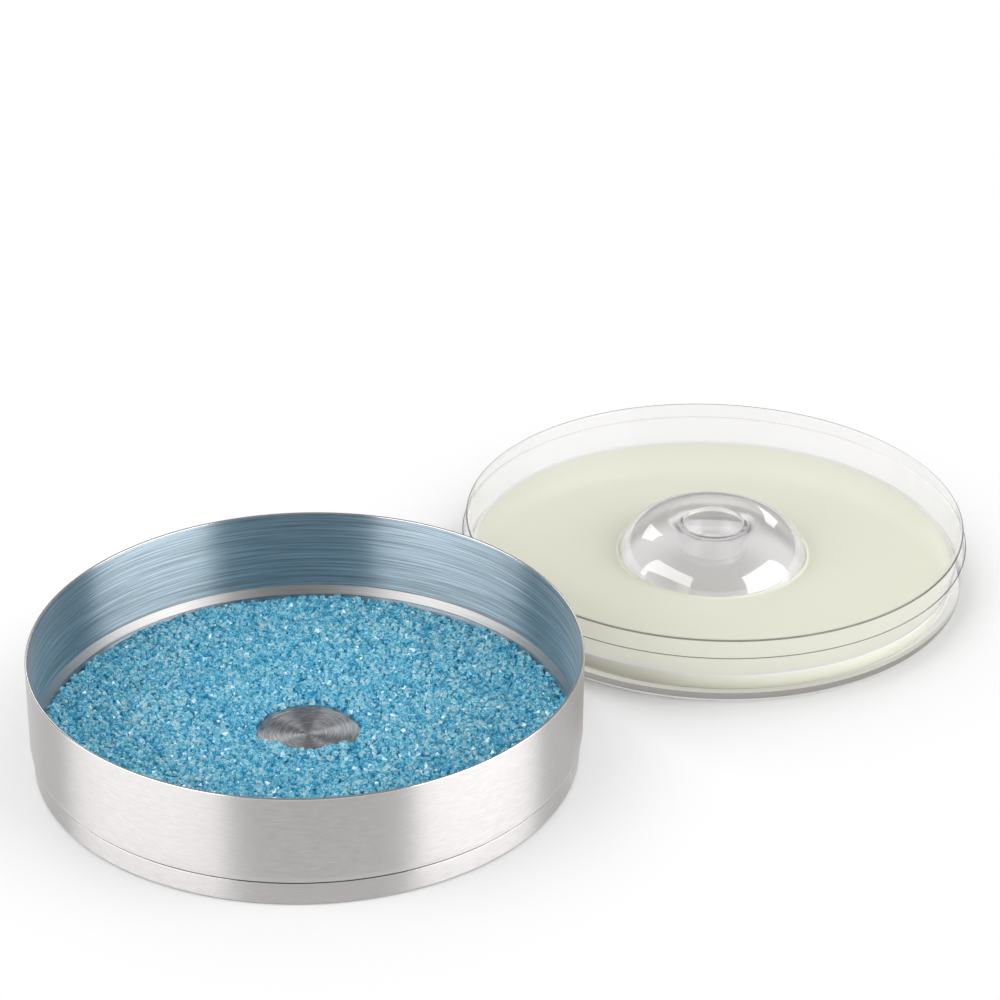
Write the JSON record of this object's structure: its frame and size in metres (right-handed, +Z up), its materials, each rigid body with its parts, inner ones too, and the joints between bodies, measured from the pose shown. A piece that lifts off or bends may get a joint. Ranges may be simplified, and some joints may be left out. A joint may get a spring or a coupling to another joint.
{
  "type": "cocktail rimmer",
  "caption": "Round steel dish holding rimming sugar beside a clear moulded tray of juice with a hollow central dome and well, which turned over closes the dish as its lid.",
  "frame": {"origin": "middle of the dish's flat base, on the surface that both parts stand on", "axes": "+Z up along the dish's axis of revolution; the tray stands beside the dish towards +X and +Y"},
  "size_m": [0.2475, 0.2322, 0.0303],
  "materials": {
    "brushed_steel": "fine horizontal brushing outside, satin inside, polished rim",
    "turned_steel": "fine concentric turning marks",
    "blue_sugar": "coarse glossy crystals about a millimetre across",
    "clear_plastic": "polished clear moulded plastic",
    "lime_juice": "still pale green liquid"
  },
  "bodies": {
    "dish": {"steel_dish": "brushed_steel", "centre_boss": "turned_steel", "rimming_sugar": "blue_sugar"},
    "tray": {"tray_lid": "clear_plastic", "lime_juice": "lime_juice"}
  },
  "joints": [
    {"name": "tray_lift", "type": "slide", "parent": "dish", "child": "tray", "axis": [0, 0, 1], "range_m": [0, 0.06]}
  ]
}
